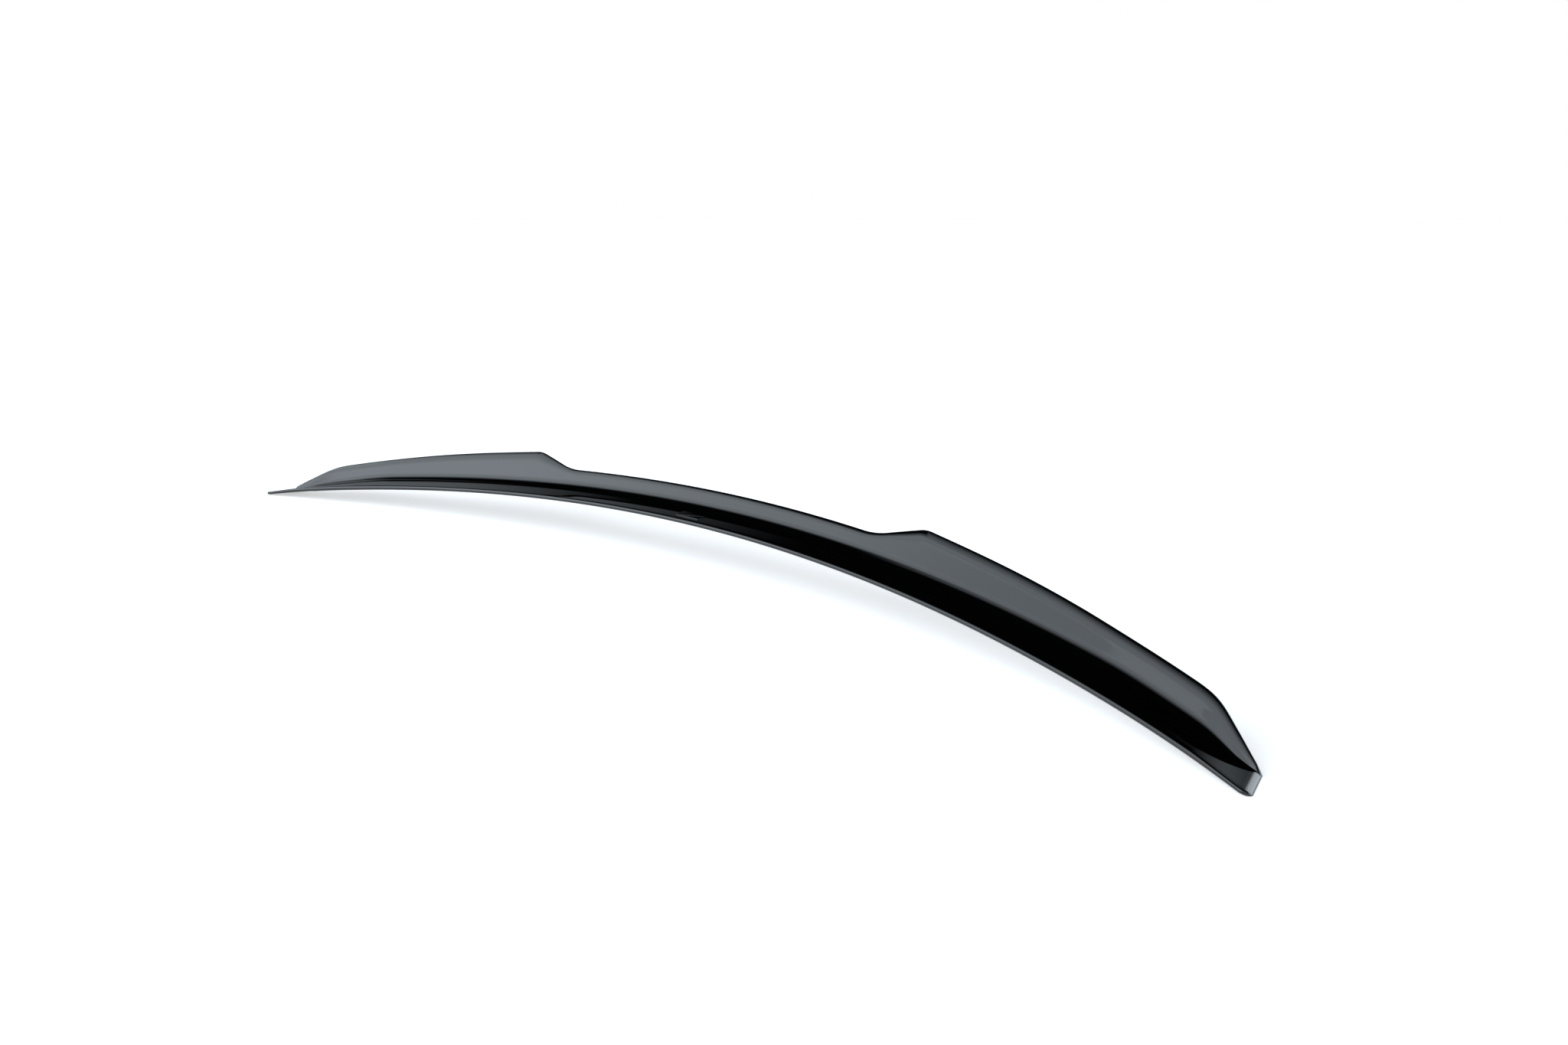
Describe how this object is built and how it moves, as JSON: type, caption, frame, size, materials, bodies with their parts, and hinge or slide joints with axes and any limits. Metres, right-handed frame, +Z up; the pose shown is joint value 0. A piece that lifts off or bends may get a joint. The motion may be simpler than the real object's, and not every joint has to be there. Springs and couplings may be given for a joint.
{
  "type": "car rear spoiler",
  "caption": "Curved boot lid lip spoiler in gloss black plastic: low middle, raised tapering wings, thin rounded ends, ribbed open underside and foam bonding tape.",
  "frame": {"origin": "middle of the front foam tape's bonding face, on the surface of the lid, in the plane of symmetry", "axes": "+X to the left side of the car along the span, +Y to the rear of the car, +Z up from the lid"},
  "size_m": [1.2468, 0.1674, 0.077],
  "materials": {
    "gloss_black_shell": "gloss",
    "gloss_black_plate": "gloss",
    "foam_tape": "matte"
  },
  "bodies": {
    "root": {"spoiler_shell": "gloss_black_shell", "emblem_plate": "gloss_black_plate", "front_tape": "foam_tape", "rear_tape": "foam_tape"}
  },
  "joints": []
}
